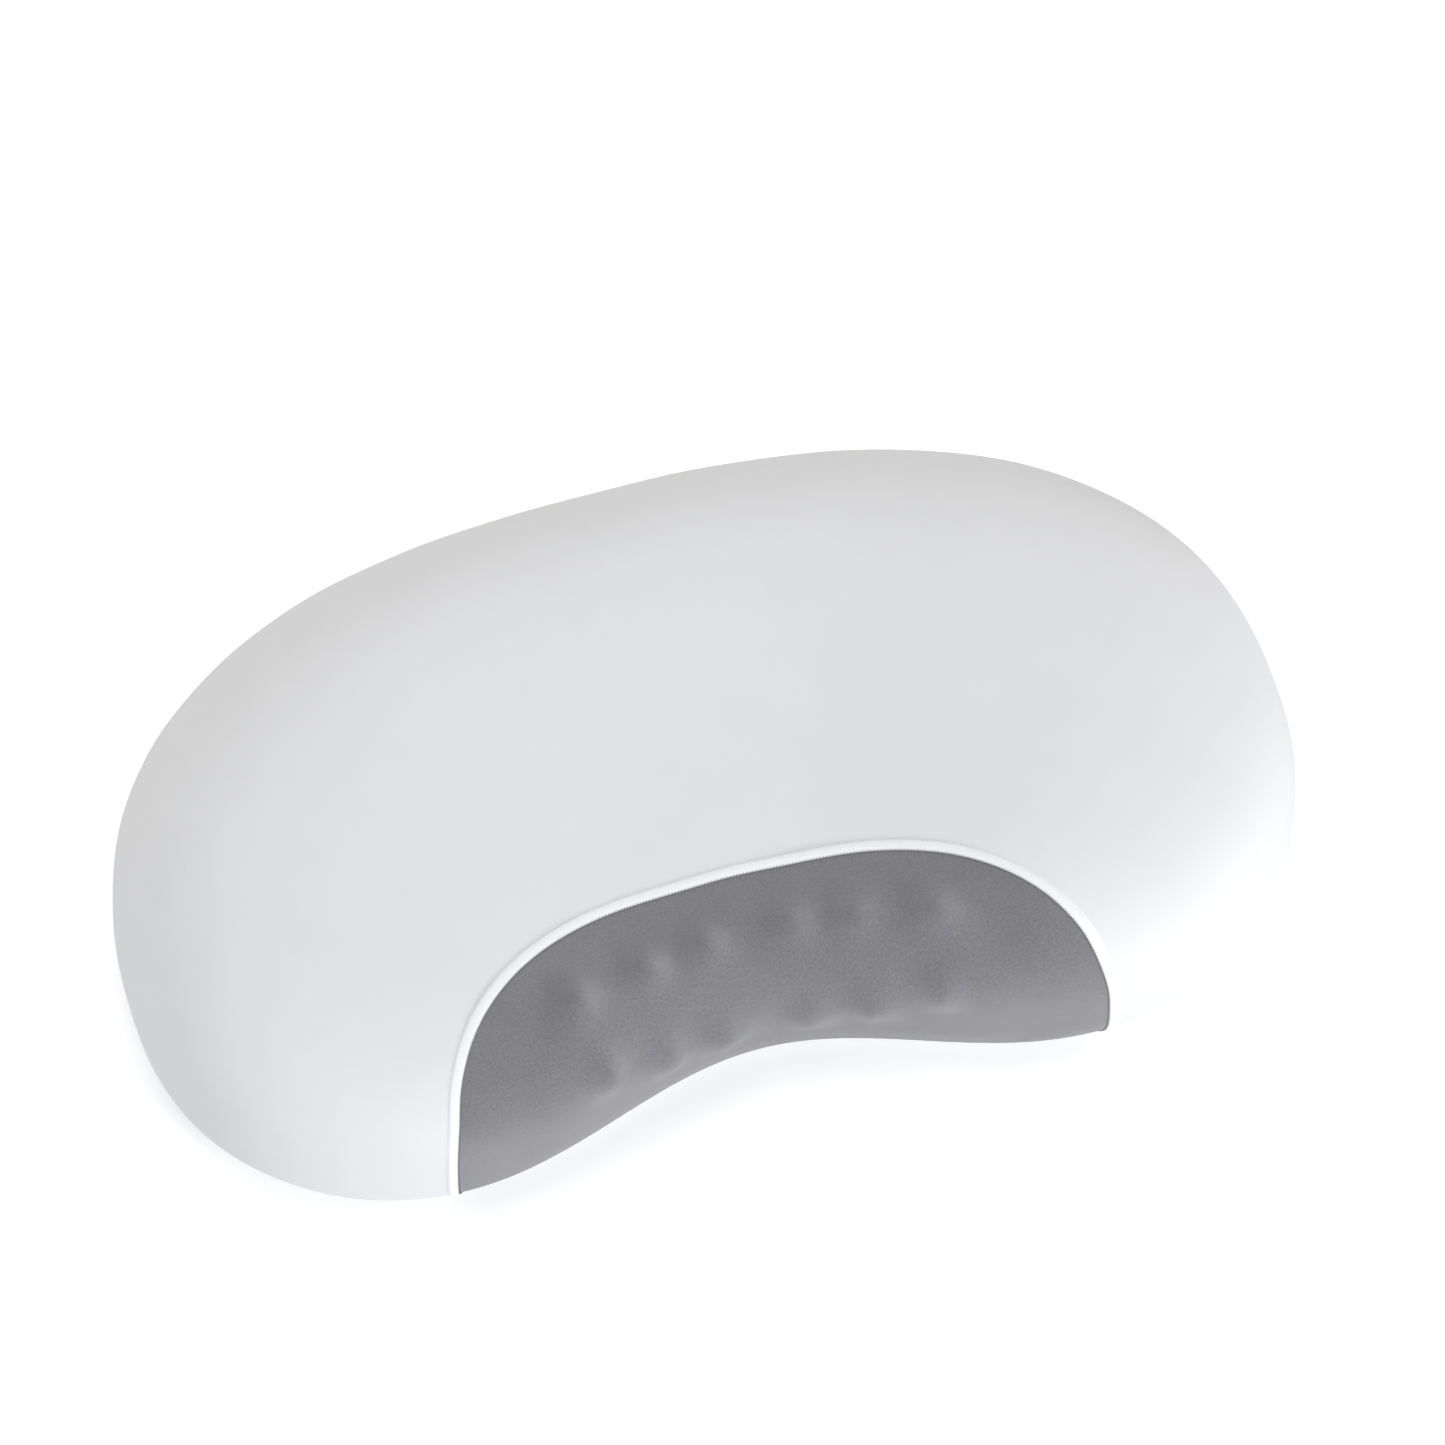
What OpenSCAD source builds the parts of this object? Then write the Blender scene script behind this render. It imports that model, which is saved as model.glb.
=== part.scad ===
// Contoured massage neck pillow: a bean-shaped foam body in a zipped knit cover.
//
// Every soft layer is a patch of one skin. A point of the skin has two angles: u runs round the
// plan outline (0 at the right end, 90 at the back, 270 at the neck), and f runs from the middle
// of the top (0) over the widest line (90) to the middle of the underside (180). A depth moves the
// point inwards, so nested layers use the same grid and never cross.
// +Z is up, -Y is the neck side, and the origin is at the middle of the footprint.

/* [Foam shape] */
// Length from end to end
length = 600; // [570:10:620]
// From the middle line to the back edge
back_depth = 202; // [194:2:208]
// From the middle line to the front of the lobes, before the neck scoop
front_depth = 178; // [172:2:184]
// Height of the highest part of the rim
height = 113; // [106:1:120]
// Height of the widest line above the base
rim_z = 49; // [45:1:52]
// How far the neck scoop presses the front edge in
scoop_depth = 72; // [64:1:76]
// Half width of the neck scoop
scoop_w = 137; // [128:1:146]
// How far the head dish is pressed into the top
dish_depth = 15; // [8:1:18]

/* [Cover] */
// Thickness of the knit cover
cover_t = 1.5; // [1.2:0.1:1.6]
// Thickness of the inner liner
liner_t = 0.8; // [0.6:0.1:0.9]
// Width of the binding round the panel, as an angle round the outline
band_u = 1.4; // [1:0.2:2]

/* [Massage nubs] */
// Diameter of a nub's head
nub_d = 24; // [20:1:25]
// Diameter of the stem that plugs into the pad
stem_d = 10; // [8:1:12]
// Depth of the pad's face below the skin
pad_depth = 11; // [10:1:12]
// Thickness of the nub pad
pad_t = 5; // [4:0.5:6]
// How far the nubs hold the grey panel off the foam
nub_rise = 5; // [3:0.5:6]

/* [Zip] */
// Radius of the gentle arc that the zip follows
zip_r = 650; // [640:10:660]
// Half length of the zip's coils along the arc
coil_half = 150; // [130:5:150]
// Lean of the zip from upright, following the wall under the back rim
zip_tilt = 33; // [31:1:35]

/* [Hidden] */
// Exponents of the rounded outline and of its profile over the top and under the base
lobe_n = 2.42;
back_n = 2.24;
top_out_n = 4.5;
top_up_n = 3.0;
base_out_n = 5.0;
base_up_n = 3.2;
base_flat = 1.5;        // how far the base profile is cut off to leave a flat face
spine_ratio = 0.55;     // length of the middle line against the outline
spine_y = 25;           // how far the middle line follows the scoop
dish_len = 137;
dish_w = 176;
dish_y = -20;
dish_n = 2.5;

// Grid: columns round the outline, rows from the top's middle line to the base's
col_step = 6;           // the columns lie closer at the two middles and beside the panel
panel_half_u = 30;      // half width of the grey panel, as an angle round the outline
zip_half_u = 30;        // half width of the zip's slot
band_f = 2.3;           // width of the binding above the panel, as a row angle
mid_rows = [24, 34, 45, 56, 68, 80, 90, 96, 102, 112, 122, 130];
base_rows = [138, 146, 155, 165, 180];
crown_row = 4;
seam_row = crown_row + len(mid_rows);
last_row = seam_row + len(base_rows);
panel_u = [270 - panel_half_u, 270 + panel_half_u];
zip_u = [90 - zip_half_u, 90 + zip_half_u];
columns = [for (u = [0 : col_step : 360 - col_step])
    each u == panel_u[0] || u == zip_u[0] ? [u - band_u, u]
       : u == panel_u[1] || u == zip_u[1] ? [u, u + band_u]
       : u == 90 || u == 270 ? [u - col_step / 2, u, u + col_step / 2]
       : [u]];
n_col = len(columns);
half_col = n_col / 2;

// Rows and columns that bound the nub pad and the zip
pad_rows = [5, 13];
pad_u = [246, 294];
zip_rows = [13, 15];
zip_channel_rows = [12, 16];
zip_channel_u = [54, 126];
zip_channel = 5;        // extra depth of liner and foam behind the zip

layer_gap = 0.5;
liner_depth = cover_t + layer_gap;
foam_depth = liner_depth + liner_t + layer_gap;
pocket_depth = pad_depth + pad_t + layer_gap;

// Nubs: angle from the middle of the neck and row angle, from the middle pair outwards
upper_nubs = [[2.8, 34], [8.4, 32], [16.7, 28.5]];
lower_nubs = [[2.6, 82], [7.4, 78], [13.4, 67]];
nub_tip_gap = 1.2;      // between a nub's tip and the inside of the lifted panel
nub_head_h = 6;
stem_plug = 2;          // how far a stem reaches into the pad
stem_clear = 0.1;

// Zip chain, in millimetres across the zip (w) and outwards (n)
tape_edge = 7;
tape_t = 0.7;
coil_edge = 2.4;
coil_gap = 1;
coil_t = 1.8;
tape_half = coil_half + 10;
stop_len = 3;
stop_gap = 0.2;
stop_t = 2.4;
slider_len = 9;
slider_w = 8.4;
plate_t = 1;
plate_n = 1.3;          // inner face of each slider plate
lip_w = 1.1;
lip_n = 0.75;
post_w = 0.4;
post_len = 2.3;
bail_n = 4.2;
bail_d = 1.4;
bail_w = 0.8;
knuckle_d = 3;
knuckle_w = 4.4;
pin_clear = 0.06;
pull_len = 24;
pull_w = 6;
pull_t = 1.2;
slider_rest = coil_half - slider_len / 2 - 0.5;
label_size = [30, 18, 0.5];

// ---- the skin ----

function signed_pow(v, e) = sign(v) * pow(abs(v), e);

// Plan outline before the origin is moved to the middle of the footprint
function outline(u) =
    let (s = sin(u),
         x = length / 2 * signed_pow(cos(u), 2 / lobe_n),
         reach = s >= 0 ? back_depth : front_depth,
         e = s >= 0 ? 2 / back_n : 2 / lobe_n)
    [x, reach * signed_pow(s, e) + scoop_depth * exp(-pow(x / scoop_w, 2)) * (1 - s) / 2];

function middle_line(u) =
    let (x = outline(u)[0])
    [spine_ratio * x, spine_y * exp(-pow(x / scoop_w, 2))];

function dish(p) =
    dish_depth * exp(-pow(abs(p[0]) / dish_len, dish_n) - pow(abs(p[1] - dish_y) / dish_w, dish_n));

function top_z(p, w, depth) = rim_z + (height - rim_z - depth - dish(p)) * pow(w, 2 / top_up_n);

function base_z(w, depth) = max(depth, rim_z - (rim_z + base_flat - depth) * pow(w, 2 / base_up_n));

front_reach = min([for (u = columns) outline(u)[1]]);
origin_y = (back_depth + front_reach) / 2;

function skin(u, f, depth) =
    let (p = outline(u),
         c = middle_line(u),
         top = f <= 90,
         r = pow(abs(sin(f)), 2 / (top ? top_out_n : base_out_n)) * (1 - depth / norm(p - c)),
         q = c + r * (p - c),
         w = abs(cos(f)))
    [q[0], q[1] - origin_y, top ? top_z(q, w, depth) : base_z(w, depth)];

// Direction straight out of the skin
function skin_normal(u, f) =
    let (along = skin(u + 0.5, f, 0) - skin(u - 0.5, f, 0),
         down = skin(u, f + 0.5, 0) - skin(u, f - 0.5, 0),
         n = cross(down, along))
    n / norm(n);

// Upper edge of the grey panel: flat, a little lower in the middle, with round corners
function crown(u) =
    let (t = min(abs(u - 270) / panel_half_u, 1))
    9.5 + 4 * exp(-pow(t * panel_half_u / 8, 2)) + 11 * pow(t, 8);

function rows_at(u) =
    concat([for (j = [0 : 3]) (crown(u) - band_f) * pow(j / 3, 2)], [crown(u)], mid_rows, base_rows);

// ---- the grid, as points and faces ----

// Points of one layer; depth(j, k) gives each point's depth. The first and last rows are the
// middle lines of the top and the base, where the columns of front and back meet in pairs.
function layer_points(depth) =
    concat([for (k = [0 : half_col]) skin(columns[k], 0, depth(0, k))],
           [for (j = [1 : last_row - 1]) for (k = [0 : n_col - 1])
               skin(columns[k], rows_at(columns[k])[j], depth(j, k))],
           [for (k = [0 : half_col]) skin(columns[k], 180, depth(last_row, k))]);

layer_count = 2 * (half_col + 1) + (last_row - 1) * n_col;

function wrap(k) = (k + n_col) % n_col;
function paired(k) = min(wrap(k), n_col - wrap(k));
function point_at(j, k) =
    j == 0 ? paired(k)
  : j == last_row ? half_col + 1 + (last_row - 1) * n_col + paired(k)
  : half_col + 1 + (j - 1) * n_col + wrap(k);

function two_triangles(a, b, c, d) = [[a, b, c], [a, c, d]];

function outer_faces(j, k) =
    two_triangles(point_at(j, k), point_at(j, k + 1), point_at(j + 1, k + 1), point_at(j + 1, k));

// Outer, inner and side faces of one cell; a side is closed where the next cell isn't covered
function cell_faces(j, k, covers) =
    let (m = layer_count,
         a = point_at(j, k),
         b = point_at(j, k + 1),
         c = point_at(j + 1, k + 1),
         d = point_at(j + 1, k))
    concat(two_triangles(a, b, c, d),
           [[m + c, m + b, m + a], [m + d, m + c, m + a]],
           j > 0 && !covers(j - 1, k) ? two_triangles(b, a, m + a, m + b) : [],
           !covers(j, wrap(k + 1)) ? two_triangles(c, b, m + b, m + c) : [],
           j < last_row - 1 && !covers(j + 1, k) ? two_triangles(d, c, m + c, m + d) : [],
           !covers(j, wrap(k - 1)) ? two_triangles(a, d, m + d, m + a) : []);

// A layer of cloth between two depths, over the cells that covers(j, k) picks
module skin_patch(outer, inner, covers)
    polyhedron(
        points = concat(layer_points(outer), layer_points(inner)),
        faces = [for (j = [0 : last_row - 1]) for (k = [0 : n_col - 1])
            if (covers(j, k)) each cell_faces(j, k, covers)],
        convexity = 6);

// A closed body under the skin
module skin_body(depth)
    polyhedron(
        points = layer_points(depth),
        faces = [for (j = [0 : last_row - 1]) for (k = [0 : n_col - 1]) each outer_faces(j, k)],
        convexity = 6);

// Places children on the skin: local x runs round the outline, local z points straight out
module on_skin(u, f) {
    n = skin_normal(u, f);
    along = skin(u - 0.5, f, 0) - skin(u + 0.5, f, 0);
    x = along / norm(along);
    y = cross(n, x);
    p = skin(u, f, 0);
    multmatrix([
        [x[0], y[0], n[0], p[0]],
        [x[1], y[1], n[1], p[1]],
        [x[2], y[2], n[2], p[2]],
        [0, 0, 0, 1]]) children();
}

// ---- which cells belong to what ----

function in_span(v, span) = v >= span[0] && v < span[1];
band_span = [panel_u[0] - band_u, panel_u[1] + band_u];

function is_panel(j, k) = j >= crown_row && j < seam_row && in_span(columns[k], panel_u);
function is_binding(j, k) =
    j >= crown_row - 1 && j < seam_row && in_span(columns[k], band_span) && !is_panel(j, k);
function is_zip_slot(j, k) = in_span(j, zip_rows) && in_span(columns[k], zip_u);
function is_base(j, k) = j >= seam_row;
function is_top(j, k) = !is_panel(j, k) && !is_binding(j, k) && !is_zip_slot(j, k) && !is_base(j, k);
function is_pad(j, k) = in_span(j, pad_rows) && in_span(columns[k], pad_u);
function is_window(j, k) =
    in_span(j, [pad_rows[0] - 1, pad_rows[1] + 1]) && in_span(columns[k], panel_u);

// Depth of the foam and the liner, deeper behind the zip and under the nub pad
function channel(j, k) =
    j >= zip_channel_rows[0] && j <= zip_channel_rows[1]
    && columns[k] >= zip_channel_u[0] && columns[k] <= zip_channel_u[1] ? zip_channel : 0;
function in_pocket(j, k) =
    j >= pad_rows[0] && j <= pad_rows[1] && columns[k] >= pad_u[0] && columns[k] <= pad_u[1];
function panel_lift(j, k) = in_pocket(j, k) ? nub_rise : 0;
function core_depth(j, k) = in_pocket(j, k) ? pocket_depth : foam_depth + channel(j, k);

// ---- foam, pad and cover ----

module foam_core() color("ivory") skin_body(function (j, k) core_depth(j, k));

module inner_liner() color("whitesmoke")
    skin_patch(
        function (j, k) liner_depth + channel(j, k),
        function (j, k) liner_depth + liner_t + channel(j, k),
        function (j, k) !is_window(j, k));

module cover_piece(covers)
    skin_patch(function (j, k) 0, function (j, k) cover_t, covers);

module top_cover() color("white") cover_piece(function (j, k) is_top(j, k));

// The grey panel is drawn over the nubs, so it stands off the foam there
module neck_panel() color([0.52, 0.51, 0.54])
    skin_patch(
        function (j, k) -panel_lift(j, k),
        function (j, k) cover_t - panel_lift(j, k),
        function (j, k) is_panel(j, k));

module neck_binding() color("white") cover_piece(function (j, k) is_binding(j, k));

module base_cover() color("white") cover_piece(function (j, k) is_base(j, k));

// ---- massage nubs ----

function nub_spot(row, i) =
    let (pair = i <= 3 ? 3 - i : i - 4,
         side = i <= 3 ? -1 : 1)
    [270 + side * row[pair][0], row[pair][1]];

module nub(spot) {
    tip = cover_t + nub_tip_gap - nub_rise;
    stem_foot = pad_depth + stem_plug;
    color([0.45, 0.47, 0.5]) on_skin(spot[0], spot[1]) {
        translate([0, 0, -tip - nub_head_h]) nub_head();
        translate([0, 0, -stem_foot]) cylinder(d = stem_d, h = stem_foot - tip - nub_head_h, $fn = 48);
    }
}

// Low dome with a straight foot
module nub_head() {
    dome_r = (pow(nub_d / 2, 2) + pow(nub_head_h - 1.5, 2)) / (2 * (nub_head_h - 1.5));
    intersection() {
        cylinder(d = nub_d, h = nub_head_h, $fn = 64);
        translate([0, 0, nub_head_h - dome_r]) sphere(r = dome_r, $fn = 96);
    }
}

module nub_pad() color([0.4, 0.42, 0.46]) difference() {
    skin_patch(
        function (j, k) pad_depth,
        function (j, k) pad_depth + pad_t,
        function (j, k) is_pad(j, k));
    for (row = [upper_nubs, lower_nubs]) for (i = [1 : 6]) {
        spot = nub_spot(row, i);
        on_skin(spot[0], spot[1]) translate([0, 0, -pad_depth - pad_t - 12])
            cylinder(d = stem_d + 2 * stem_clear, h = 16 + pad_t, $fn = 48);
    }
}

// ---- zip ----

zip_mid = skin(90, 112, 0);
zip_sink = 0.6;         // the chain lies this far under the skin
zip_centre_y = zip_mid[1] - zip_r;

function arc_angle(distance) = distance / zip_r * 180 / PI;

// Places children on the zip: local x along it, local y out of the wall, local z up the wall
module on_zip(distance)
    translate([0, zip_centre_y, zip_mid[2]]) rotate(-arc_angle(distance)) translate([0, zip_r, 0])
        rotate([-zip_tilt, 0, 0]) translate([0, -zip_sink, 0]) children();

// Sweeps a flat shape along the zip's arc; in the shape x is outwards and y is up the wall
module zip_sweep(from, to)
    translate([0, zip_centre_y, 0]) rotate(90 - arc_angle(to))
        rotate_extrude(angle = arc_angle(to - from), $fn = 720)
            translate([zip_r, zip_mid[2]]) rotate(-zip_tilt) translate([-zip_sink, 0]) children();

module across(w0, w1, thick) translate([-thick / 2, w0]) square([thick, w1 - w0]);

module zip_tape(side) color("gainsboro")
    zip_sweep(-tape_half, tape_half) scale([1, side]) across(coil_edge, tape_edge, tape_t);

module zip_coil(side) color("white")
    zip_sweep(-coil_half, coil_half) scale([1, side]) across(coil_gap / 2, coil_edge, coil_t);

module zip_tape_upper() zip_tape(1);
module zip_tape_lower() zip_tape(-1);
module zip_coil_upper() zip_coil(1);
module zip_coil_lower() zip_coil(-1);

module zip_top_stops() color("silver")
    for (side = [-1, 1])
        zip_sweep(coil_half + stop_gap, coil_half + stop_gap + stop_len)
            scale([1, side]) across(coil_gap / 2, coil_edge, stop_t);

module zip_bottom_stop() color("silver")
    zip_sweep(-coil_half - stop_gap - stop_len, -coil_half - stop_gap)
        across(-coil_edge, coil_edge, stop_t);

module slider_outline() {
    square([slider_len - 3, slider_w], center = true);
    square([slider_len, slider_w - 3], center = true);
    for (x = [-1, 1]) for (w = [-1, 1])
        translate([x * (slider_len / 2 - 1.5), w * (slider_w / 2 - 1.5)]) circle(1.5, $fn = 32);
}

// A plate of the slider between two heights above the chain
module slider_layer(n0, n1) translate([0, n1, 0]) rotate([90, 0, 0]) linear_extrude(n1 - n0) children();

module slider_lips()
    intersection() {
        slider_outline();
        for (side = [-1, 1])
            translate([0, side * (slider_w - lip_w) / 2]) square([slider_len, lip_w], center = true);
    }

module zip_slider() color("silver") on_zip(slider_rest) {
    slider_layer(plate_n, plate_n + plate_t) slider_outline();
    slider_layer(-plate_n - plate_t, -plate_n) slider_outline();
    slider_layer(lip_n, plate_n) slider_lips();
    slider_layer(-plate_n, -lip_n) slider_lips();
    translate([slider_len / 2 - post_len - 0.4, -plate_n, -post_w / 2])
        cube([post_len, 2 * plate_n, post_w]);
    for (side = [-1, 1])
        translate([-1, plate_n + plate_t, side * (knuckle_w / 2 + 0.3 + bail_w / 2) - bail_w / 2])
            cube([2, bail_n - plate_n - plate_t + 1, bail_w]);
    translate([0, bail_n, -knuckle_w / 2 - 0.5]) cylinder(d = bail_d, h = knuckle_w + 1, $fn = 32);
}

module zip_pull() color("silver") on_zip(slider_rest) translate([0, bail_n, 0]) difference() {
    union() {
        translate([0, 0, -knuckle_w / 2]) cylinder(d = knuckle_d, h = knuckle_w, $fn = 32);
        translate([-5, -pull_t / 2, -knuckle_w / 2]) cube([5, pull_t, knuckle_w]);
        translate([-pull_len + pull_w / 2, -pull_t / 2, -pull_w / 2])
            cube([pull_len - pull_w / 2 - 4.5, pull_t, pull_w]);
        translate([-pull_len + pull_w / 2, pull_t / 2, 0]) rotate([90, 0, 0])
            cylinder(d = pull_w, h = pull_t, $fn = 48);
    }
    translate([0, 0, -knuckle_w]) cylinder(d = bail_d + 2 * pin_clear, h = 2 * knuckle_w, $fn = 32);
    translate([-pull_len + pull_w / 2 + 0.5, pull_t, 0]) rotate([90, 0, 0])
        cylinder(d = 2.4, h = 2 * pull_t, $fn = 32);
}

// Blank cloth label, sewn into the base seam beside the zip
module care_label() color("white") on_skin(132, 114)
    translate([-label_size[0] / 2, -label_size[1] / 2, 0.9]) cube(label_size);

foam_core();
nub_pad();
inner_liner();
top_cover();
neck_panel();
neck_binding();
base_cover();
zip_tape_upper();
zip_tape_lower();
zip_coil_upper();
zip_coil_lower();
zip_top_stops();
zip_bottom_stop();
zip_slider();
zip_pull();
care_label();
for (i = [1 : 6]) {
    nub(nub_spot(upper_nubs, i));
    nub(nub_spot(lower_nubs, i));
}
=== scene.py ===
import math

import bpy
import numpy as np
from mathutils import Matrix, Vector


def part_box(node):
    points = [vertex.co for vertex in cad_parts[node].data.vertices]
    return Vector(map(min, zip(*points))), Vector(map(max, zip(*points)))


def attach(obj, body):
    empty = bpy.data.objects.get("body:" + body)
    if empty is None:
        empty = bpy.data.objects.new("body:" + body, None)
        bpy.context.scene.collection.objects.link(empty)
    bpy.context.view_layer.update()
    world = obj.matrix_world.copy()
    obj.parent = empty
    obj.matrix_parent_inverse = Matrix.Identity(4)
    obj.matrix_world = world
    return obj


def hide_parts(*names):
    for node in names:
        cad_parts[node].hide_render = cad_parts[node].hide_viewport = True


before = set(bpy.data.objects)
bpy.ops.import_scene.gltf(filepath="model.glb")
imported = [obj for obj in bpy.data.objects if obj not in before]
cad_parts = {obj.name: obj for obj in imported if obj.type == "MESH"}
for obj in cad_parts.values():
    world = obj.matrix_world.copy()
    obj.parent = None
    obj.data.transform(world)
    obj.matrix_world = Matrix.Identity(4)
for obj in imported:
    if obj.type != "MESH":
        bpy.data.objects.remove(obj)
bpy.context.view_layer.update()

# Contoured massage neck pillow: a bean-shaped foam pillow in a zipped knit cover.
#
# The frame holds the sizes, the bodies and the joints. This script dresses it with a white knit
# cover, a grey neck panel drawn tight over twelve nubs, its binding and stitching, a nylon zip, the
# base seam and a blank label. Lengths are in metres, and u and f are the two angles of the skin, in
# degrees: u runs round the outline (90 at the back, 270 at the neck), f from the top's middle (0)
# over the widest line (90) to the middle of the underside (180).

MM = 0.001

# ---- form, the same as the CAD skin ----
# The outline reaches BACK_DEPTH behind its centre and FRONT_DEPTH before it, with a scoop at the
# neck and a dish in the top. Names with _N are powers of the curves: 2 is round, more is squarer.
BOX_LOW, BOX_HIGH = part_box("top_cover")
LENGTH = BOX_HIGH[0] - BOX_LOW[0]
BACK_DEPTH = 202 * MM
FRONT_DEPTH = 178 * MM
ORIGIN_Y = BACK_DEPTH - BOX_HIGH[1]
HEIGHT = 113 * MM
RIM_Z = 49 * MM
SCOOP_DEPTH = 72 * MM
SCOOP_W = 137 * MM
DISH_DEPTH = 15 * MM
DISH_LEN = 137 * MM
DISH_W = 176 * MM
DISH_Y = -20 * MM
DISH_N = 2.5
LOBE_N = 2.42
BACK_N = 2.24
TOP_OUT_N = 4.5
TOP_UP_N = 3.0
BASE_OUT_N = 5.0
BASE_UP_N = 3.2
BASE_FLAT = 1.5 * MM
SPINE_RATIO = 0.55
SPINE_Y = 25 * MM

# ---- cover: angles u and f of its edges, in degrees ----
NECK_U = 270
PANEL_HALF = 30.0
LEFT_LEG = NECK_U - PANEL_HALF
RIGHT_LEG = NECK_U + PANEL_HALF
LEG_TOP = 35.0
# How far the panel's legs swing outwards, how far beside a leg that reaches, the row where it is
# most, and how far above and below that row it reaches.
LEG_BOW = 0.8
LEG_BOW_U = 8
LEG_BOW_F = 38.8
LEG_BOW_H = 19.4
# The panel's upper edge: its row at the shoulders, and how much lower and how wide its middle is.
CROWN_TOP = 8.9
CROWN_DIP = 4.35
CROWN_DIP_W = 10
CROWN_SIDE_POWER = 5.8
CROWN_TOP_POWER = 0.33
WIDEST_F = 90
SEAM_F = 130.0
COVER_T = 1.2 * MM
# The pinch beside the base seam, and how far the skin runs per degree of f there.
PINCH_DEPTH = 1.3 * MM
PINCH_WIDTH = 3.2 * MM
PINCH_RUN = 1.1 * MM
SOFT_DEPTH = 0.28 * MM
# Waves of the stuffed cloth: share, direction and shift of the sine, direction of the cosine.
# The directions are in radians a metre along x, y and z.
SOFT_WAVES = [(1.0, (31, 17, 0), 1.3, (0, 23, -9)),
              (0.6, (52, -38, 0), 2.1, (12, 0, 41)),
              (0.35, (90, 71, 60), 0.0, (0, 0, 0))]

# ---- nubs: degrees from the middle of the neck, and row angle ----
# The field is the low rise round all the nubs. FIELD_SIDE, FIELD_TOP and FIELD_FOOT say between
# which angles it fades beside, above and below them.
UPPER_NUBS = [(2.8, 34), (8.4, 32), (16.7, 28.5)]
LOWER_NUBS = [(2.6, 82), (7.4, 78), (13.4, 67)]
UPPER_RISE = 5.6 * MM
LOWER_RISE = 7.0 * MM
HUMP_WIDTH = 7.8 * MM
FIELD_RISE = 3.4 * MM
FIELD_SIDE = (16.0, 22.5)
FIELD_TOP = (12.0, 34.0)
FIELD_FOOT = (86.0, 106.0)

# ---- zip, the same as the CAD zip ----
ZIP_R = 650 * MM
ZIP_ROW = 112.0
ZIP_TILT = math.radians(33)
ZIP_SINK = 0.6 * MM
COIL_HALF = 150 * MM
TAPE_HALF = 160 * MM
TAPE_INNER = 2.45 * MM
TAPE_OUTER = 7.0 * MM
STOP_END = COIL_HALF + 3.3 * MM

# ---- zip, in cloth and thread only ----
# The slot's edges lie SLOT_W from the chain and SLOT_OUT out from it. The wall is drawn onto the
# zip from the row SLOT_FADE_F down, and over SLOT_FADE_END past the slot's ends.
SLOT_ROWS = (106.5, 117.5)
SLOT_W = 5.2 * MM
SLOT_OUT = 1.35 * MM
SLOT_FADE_F = 84
SLOT_FADE_END = 25 * MM
TAPE_RINGS = 321
COIL_PITCH = 1.3 * MM
COIL_STEPS = 12
COIL_START = 0.4 * MM
COIL_MIDDLE = 1.0 * MM
COIL_REACH = 1.15 * MM
COIL_OUT = 0.72 * MM
FILAMENT_R = 0.3 * MM

# ---- threads ----
THREAD_R = 0.17 * MM
STITCH_STEP = 0.9 * MM
TOPSTITCH_SIDE = 4.35 * MM
TOPSTITCH_HEIGHT = 0.86 * MM
HEM_SIDE = 2.2 * MM
OVERLOCK_R = 0.2 * MM
OVERLOCK_STEP = 0.85 * MM
OVERLOCK_REACH = 1.3 * MM
SEAM_ROLL_R = 0.9 * MM

# ---- label ----
LABEL_U, LABEL_F = 132.0, 114.0
LABEL_W, LABEL_H = 30 * MM, 18 * MM
LABEL_T = 0.35 * MM
LABEL_GRID = (20, 30)
LABEL_GAP = 0.5 * MM
LABEL_CURL = 1.4 * MM
LABEL_WAVE = 0.4 * MM
LABEL_WAVE_TURN = 5
LABEL_WAVE_SHIFT = 0.4


# ======================= the skin =======================

def signed_pow(value, power):
    return np.sign(value) * np.abs(value) ** power


def outline(u):
    """Widest line of the pillow, before it's moved to the frame's origin."""
    c, s = np.cos(np.radians(u)), np.sin(np.radians(u))
    x = LENGTH / 2 * signed_pow(c, 2 / LOBE_N)
    back = s >= 0
    reach = np.where(back, BACK_DEPTH, FRONT_DEPTH)
    bend = np.where(back, 2 / BACK_N, 2 / LOBE_N)
    y = reach * signed_pow(s, bend) + SCOOP_DEPTH * np.exp(-(x / SCOOP_W) ** 2) * (1 - s) / 2
    return x, y


def middle_line(u):
    """Place of the middle line, on top and below, from which the column u runs out."""
    x, _ = outline(u)
    return SPINE_RATIO * x, SPINE_Y * np.exp(-(x / SCOOP_W) ** 2)


def skin(u, f):
    """Point of the pillow's surface at the angles u and f."""
    u, f = np.broadcast_arrays(np.asarray(u, float), np.asarray(f, float))
    x, y = outline(u)
    cx, cy = middle_line(u)
    top = f <= WIDEST_F
    sine, cosine = np.abs(np.sin(np.radians(f))), np.abs(np.cos(np.radians(f)))
    r = sine ** np.where(top, 2 / TOP_OUT_N, 2 / BASE_OUT_N)
    px, py = cx + r * (x - cx), cy + r * (y - cy)
    dish = DISH_DEPTH * np.exp(-(np.abs(px) / DISH_LEN) ** DISH_N
                               - (np.abs(py - DISH_Y) / DISH_W) ** DISH_N)
    top_z = RIM_Z + (HEIGHT - RIM_Z - dish) * cosine ** (2 / TOP_UP_N)
    base_z = np.maximum(0, RIM_Z - (RIM_Z + BASE_FLAT) * cosine ** (2 / BASE_UP_N))
    return np.stack([px, py - ORIGIN_Y, np.where(top, top_z, base_z)], axis=-1)


def unit(v):
    return v / np.maximum(np.linalg.norm(v, axis=-1, keepdims=True), 1e-12)


def slopes(u, f, step=0.2):
    """How the surface point moves per degree of u and of f."""
    f = np.clip(f, step, 180 - step)
    along = (skin(u + step, f) - skin(u - step, f)) / (2 * step)
    down = (skin(u, f + step) - skin(u, f - step)) / (2 * step)
    return along, down


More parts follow.
